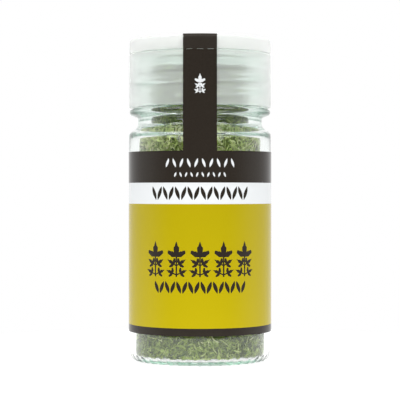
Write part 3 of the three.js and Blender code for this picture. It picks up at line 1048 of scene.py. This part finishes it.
class SPICEJAR_OT_cap_body(Builder):
    """Turns the frosted collar with its thread, sifter deck and plug"""

    bl_idname = "spicejar.cap_body"
    bl_label = "Cap body"

    def execute(self, context):
        sizes, colours = self.settings(context)
        bm = turned(self.outline(), sizes.around)
        threaded(bm, CAP_THREAD, COLLAR_IN_R, 0.05 * MM)
        finish = plastic_finish("frosted_collar", colours, COLLAR_MILK, inside_r=PAINTED_CAST_R)
        cap = finished(bm, "frosted_collar", finish)
        holes = [(0.0, 0.0)]
        for i in range(HOLES_ROUND):
            angle = (i + 0.5) / HOLES_ROUND * FULL
            holes.append((HOLE_RING_R * math.cos(angle), HOLE_RING_R * math.sin(angle)))
        for x, y in holes:
            drill = bmesh.new()
            bmesh.ops.create_cone(
                drill, cap_ends=True, segments=48, depth=4 * MM,
                radius1=HOLE_R, radius2=HOLE_R * 0.97,
                matrix=Matrix.Translation((x, y, DECK_TOP_Z - 1 * MM)),
            )
            cut_or_joined(cap, drill, "DIFFERENCE")
        add_ledge(cap, COLLAR_TOP_Z - LEDGE_HEIGHT, COLLAR_TOP_Z - LEDGE_STEP)
        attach(cap, "jar")
        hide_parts("cap_body")
        return {"FINISHED"}

    def outline(self):
        """From the axis under the deck, round the plug and the skirt, and back over the deck."""
        plug_in = PLUG_R - PLUG_WALL
        half = PLUG_WALL / 2
        wall = COLLAR_IN_R
        foot = CAP_FOOT_Z
        edge = COLLAR_EDGE
        points = [(0, DECK_Z), (plug_in, DECK_Z), (plug_in, PLUG_Z + 0.4 * MM)]
        points += arc(PLUG_R - half, PLUG_Z + half, half, math.pi, FULL, 8)
        points += [(PLUG_R, DECK_Z), (wall - 0.3 * MM, DECK_Z), (wall, DECK_Z - 0.3 * MM)]
        points += straight((wall, DECK_Z - 0.4 * MM), (wall, foot + 1.0 * MM), 64)
        points += [(wall + 0.35 * MM, foot + 0.15 * MM)]
        points += arc(wall + 0.6 * MM, foot + edge, edge, math.pi * 1.1, math.pi * 1.5, 4)
        points += arc(CAP_FOOT_R - edge, foot + edge, edge, -math.pi / 2, 0, 5)
        points += straight((CAP_FOOT_R, foot + edge), (CAP_R, COLLAR_TOP_Z - edge), 6)
        points += arc(CAP_R - edge, COLLAR_TOP_Z - edge, edge, 0, math.pi / 2, 5)
        points += [(BOSS_R + 0.1 * MM, COLLAR_TOP_Z), (BOSS_R, COLLAR_TOP_Z + 0.1 * MM)]
        points += arc(BOSS_R - BOSS_ROUND, DECK_TOP_Z - BOSS_ROUND, BOSS_ROUND, 0, math.pi / 2, 5)
        points += [(SIFTER_R + 0.4 * MM, DECK_TOP_Z), (SIFTER_R, SIFTER_TOP_Z), (0, SIFTER_TOP_Z)]
        return points


class SPICEJAR_OT_flip_lid(Builder):
    """Turns the lid with its closing ring and its half of the hinge"""

    bl_idname = "spicejar.flip_lid"
    bl_label = "Flip lid"

    def execute(self, context):
        sizes, colours = self.settings(context)
        bm = turned(self.outline(), sizes.around)
        lid = finished(bm, "frosted_lid", plastic_finish("frosted_lid", colours, LID_MILK, LID_PAINTED_SHADE))
        add_ledge(lid, LID_FOOT_Z + LEDGE_STEP, LID_FOOT_Z + LEDGE_HEIGHT)
        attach(lid, "lid")
        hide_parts("flip_lid")
        return {"FINISHED"}

    def outline(self):
        """From the axis under the top plate, round the ring and the wall, and back over the top."""
        ceiling = LID_TOP_Z - LID_PLATE
        ring_in = LID_RING_R - LID_RING_WALL
        half = LID_RING_WALL / 2
        ring_foot = DECK_TOP_Z + 0.3 * MM + half
        wall = LID_WALL_IN_R
        foot = LID_FOOT_Z
        edge = LID_EDGE
        corner = LID_CORNER
        points = [(0, ceiling), (ring_in, ceiling), (ring_in, ring_foot)]
        points += arc(LID_RING_R - half, ring_foot, half, math.pi, FULL, 6)
        points += [(LID_RING_R, ceiling), (wall - corner, ceiling)]
        points += arc(wall - corner, ceiling - corner, corner, math.pi / 2, 0, 5)
        points += [(wall, foot + edge)]
        points += arc(wall + edge, foot + edge, edge, math.pi, math.pi * 1.5, 4)
        points += arc(CAP_R - edge, foot + edge, edge, -math.pi / 2, 0, 4)
        points += arc(CAP_R - LID_ROUND, LID_TOP_Z - LID_ROUND, LID_ROUND, 0, math.pi / 2, 10)
        points += straight((CAP_R - LID_ROUND, LID_TOP_Z), (0, LID_TOP_Z), 10)
        return points


class SPICEJAR_OT_hinge_web(Builder):
    """Makes the thin moulded web that joins the lid to the collar"""

    bl_idname = "spicejar.hinge_web"
    bl_label = "Hinge web"

    def execute(self, context):
        colours = self.settings(context)[1]
        bm = grid(12, 16)
        for vert in bm.verts:
            u, v = vert.co.x * 2, vert.co.y * 2
            waist = 1 - WEB_WAIST * (1 - v * v)
            bulge = WEB_BULGE * (1 - v * v)
            vert.co = (u * WEB_HALF * waist, HINGE.y - WEB_INSET + bulge, HINGE.z + v * WEB_REACH)
        thickened(bm, WEB_THICK)
        web = finished(bm, "hinge_web", plastic_finish("hinge_plastic", colours, HINGE_MILK))
        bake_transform(web)
        return {"FINISHED"}


def strip_turns():
    """The angles of the strip's columns round the jar."""
    return [x * MM / SHEET_R for x in STRIP_COLUMNS]


class SPICEJAR_OT_label(Builder):
    """Wraps the label round the jar, with the seal strip standing up over the neck and the cap"""

    bl_idname = "spicejar.label"
    bl_label = "Label and strip"

    def execute(self, context):
        sizes, colours = self.settings(context)
        end = math.pi - math.asin(LABEL_GAP_HALF / SHEET_R)
        strip = strip_turns()
        side = LABEL_AROUND
        right = [strip[-1] + (end - strip[-1]) * i / side for i in range(1, side + 1)]
        turns = [-t for t in reversed(right)] + strip + right
        levels = self.levels(sizes)
        columns, stack = len(turns) - 1, len(levels) - 1
        bm = grid(columns, stack)
        slots = {side + 1, side + 3, side + 5}
        unwanted = []
        for face in bm.faces:
            middle = face.calc_center_median()
            column = int((middle.x + 0.5) * columns)
            row = int((middle.y + 0.5) * stack)
            on_strip = side <= column < side + len(strip) - 1
            beside = levels[row] > LABEL_TOP_Z - SAME_POINT and not on_strip
            if beside or (row == stack - 1 and column in slots):
                unwanted.append(face)
        for vert in bm.verts:
            turn = turns[round((vert.co.x + 0.5) * columns)]
            z = levels[round((vert.co.y + 0.5) * stack)]
            vert.co = (SHEET_R * math.sin(turn), -SHEET_R * math.cos(turn), z)
        bmesh.ops.delete(bm, geom=unwanted, context="FACES")
        outwards(bm)
        thickened(bm, SHEET_THICK)
        sheet = finished(bm, "label_sheet", label_finish(colours, sizes))
        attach(sheet, "jar")
        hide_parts("label")
        return {"FINISHED"}

    def levels(self, sizes):
        """The heights of the rows: along the bands, up the strip, and at the perforation."""
        bands = [LABEL_FOOT_Z, sizes.main_foot, sizes.white_foot, sizes.white_top, LABEL_TOP_Z]
        heights = []
        for low, high in zip(bands, bands[1:]):
            rows = max(1, round((high - low) / BAND_ROW))
            heights += [low + (high - low) * i / rows for i in range(rows)]
        rise = SLOT_Z - LABEL_TOP_Z
        heights += [LABEL_TOP_Z + rise * i / STRIP_ROWS for i in range(STRIP_ROWS + 1)]
        return heights + [TEAR_Z]


class SPICEJAR_OT_seal_tab(Builder):
    """Folds the strip's torn-off end over the lid's edge onto its top"""

    bl_idname = "spicejar.seal_tab"
    bl_label = "Seal strip end"

    def execute(self, context):
        colours = self.settings(context)[1]
        path = self.path()
        columns, stack = len(STRIP_COLUMNS) - 1, len(path) - 1
        bm = grid(columns, stack)
        for vert in bm.verts:
            x = SHEET_R * math.sin(strip_turns()[round((vert.co.x + 0.5) * columns)])
            radius, z, flat = path[round((vert.co.y + 0.5) * stack)]
            edge = -math.sqrt(radius * radius - x * x)
            vert.co = (x, edge + (TAB_HIGH.y - edge) * flat, z)
        outwards(bm)
        inner = Vector((0, 0, 90 * MM))
        if sum(f.normal.dot(f.calc_center_median() - inner) for f in bm.faces) < 0:
            bmesh.ops.reverse_faces(bm, faces=bm.faces[:])
        thickened(bm, SHEET_THICK)
        tab = finished(bm, "seal_strip_end", strip_finish(colours))
        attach(tab, "lid")
        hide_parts("seal_tab")
        return {"FINISHED"}

    def path(self):
        """Radius, height and how far along the flat end, for each row."""
        top = LID_TOP_Z + SHEET_THICK + 0.02 * MM
        rows = [(SHEET_R, TEAR_Z + 0.01 * MM, 0.0)]
        rows += [(SHEET_R, TEAR_Z + (top - FOLD_R - TEAR_Z) * i / 6, 0.0) for i in range(1, 7)]
        fold = arc(SHEET_R - FOLD_R, top - FOLD_R, FOLD_R, 0, math.pi / 2, 8)
        rows += [(r, z, 0.0) for r, z in fold[1:]]
        rows += [(SHEET_R - FOLD_R, top, i / 8) for i in range(1, 9)]
        return rows


class SPICEJAR_OT_stage(Builder):
    """Sets the floor, the soft studio light and the camera"""

    bl_idname = "spicejar.stage"
    bl_label = "Stage"

    def execute(self, context):
        scene = context.scene
        self.camera(scene)
        self.floor()
        self.world(scene)
        self.lamps()
        scene.view_settings.view_transform = "Standard"
        scene.view_settings.look = "None"
        light = scene.cycles
        light.max_bounces = light.glossy_bounces = light.transmission_bounces = BOUNCES
        light.diffuse_bounces = light.transparent_max_bounces = BOUNCES
        return {"FINISHED"}

    def camera(self, scene):
        """Level, half a metre away, at the photograph's height."""
        data = bpy.data.cameras.new("camera")
        data.sensor_width = SENSOR
        data.lens = LENS
        camera = placed("camera", data)
        camera.location = CAMERA_PLACE
        aim = Vector(CAMERA_AIM) - camera.location
        camera.rotation_euler = aim.to_track_quat("-Z", "Y").to_euler()
        data.clip_start = 0.01
        scene.camera = camera

    def floor(self):
        """A round white floor that glows a little, so that its edge doesn't show."""
        bm = bmesh.new()
        bmesh.ops.create_circle(bm, cap_ends=True, segments=180, radius=FLOOR_R)
        bmesh.ops.translate(bm, vec=(0, 0, -FLOOR_DROP), verts=bm.verts[:])
        finish = Finish("pale_floor")
        speckle = finish.noise(300.0, 2.0)
        material = finish.surface(
            Base_Color=finish.mix(speckle, (0.29, 0.29, 0.29), (0.31, 0.31, 0.31)),
            Roughness=0.6,
            Emission_Color=(1, 1, 1, 1),
            Emission_Strength=FLOOR_GLOW,
        )
        finished(bm, "floor", material)

    def world(self, scene):
        """A backdrop that dims towards the camera's side, but that the camera itself sees white."""
        world = bpy.data.worlds.new("studio")
        scene.world = world
        world.use_nodes = True
        nodes = Nodes(world.node_tree)
        out = nodes.node("ShaderNodeOutputWorld")
        place = nodes.node("ShaderNodeTexCoord").outputs["Generated"]
        parts = nodes.node("ShaderNodeSeparateXYZ", _0=place)
        around = self.smooth(nodes, parts.outputs["Y"], DARK_BEFORE, BRIGHT_FROM)
        over = self.smooth(nodes, parts.outputs["Z"], SKY_FROM, SKY_FULL)
        glow = around.most(over) * (1 - DIM) + DIM
        white = (1, 1, 1, 1)
        light = nodes.node("ShaderNodeBackground", Color=white, Strength=glow)
        seen = nodes.node("ShaderNodeBackground", Color=white, Strength=1.0)
        ray = nodes.node("ShaderNodeLightPath").outputs["Is Camera Ray"]
        both = nodes.node("ShaderNodeMixShader", _0=ray, _1=light.outputs[0], _2=seen.outputs[0])
        nodes.feed(out.inputs["Surface"], both.outputs[0])

    def smooth(self, nodes, value, low, high):
        """0 below low, 1 above high, and smooth between."""
        made = nodes.node(
            "ShaderNodeMapRange", {"interpolation_type": "SMOOTHSTEP"},
            Value=value, From_Min=low, From_Max=high,
        )
        return nodes.signal(made.outputs[0])

    def lamps(self):
        """Broad soft lamps high on both sides, so far off that the floor is evenly lit."""
        for name, place in SUN_PLACES.items():
            data = bpy.data.lights.new(name, "SUN")
            data.energy = SUN
            data.angle = SUN_SPREAD
            lamp = placed(name, data)
            lamp.location = place
            lamp.rotation_euler = (-lamp.location).to_track_quat("-Z", "Y").to_euler()


class SPICEJAR_PT_panel(bpy.types.Panel):
    """Lists the jar's pieces and settings in the sidebar"""

    bl_label = "Spice jar"
    bl_idname = "SPICEJAR_PT_panel"
    bl_space_type = "VIEW_3D"
    bl_region_type = "UI"
    bl_category = "Spice jar"

    def draw(self, context):
        for step in STEPS:
            self.layout.operator(step.bl_idname)
        for group in (context.scene.spice_jar_sizes, context.scene.spice_jar_colours):
            box = self.layout.box()
            for name in group.__annotations__:
                box.prop(group, name)


STEPS = (
    SPICEJAR_OT_stage,
    SPICEJAR_OT_glass,
    SPICEJAR_OT_parsley,
    SPICEJAR_OT_cap_body,
    SPICEJAR_OT_flip_lid,
    SPICEJAR_OT_hinge_web,
    SPICEJAR_OT_label,
    SPICEJAR_OT_seal_tab,
)
GROUPS = (SpiceJarSizes, SpiceJarColours)


def register():
    for item in (*GROUPS, *STEPS, SPICEJAR_PT_panel):
        bpy.utils.register_class(item)
    bpy.types.Scene.spice_jar_sizes = bpy.props.PointerProperty(type=SpiceJarSizes)
    bpy.types.Scene.spice_jar_colours = bpy.props.PointerProperty(type=SpiceJarColours)


def unregister():
    del bpy.types.Scene.spice_jar_sizes
    del bpy.types.Scene.spice_jar_colours
    for item in reversed((*GROUPS, *STEPS, SPICEJAR_PT_panel)):
        bpy.utils.unregister_class(item)


def main():
    register()
    for step in STEPS:
        group, name = step.bl_idname.split(".")
        getattr(getattr(bpy.ops, group), name)()
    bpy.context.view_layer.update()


if __name__ == "__main__":
    main()
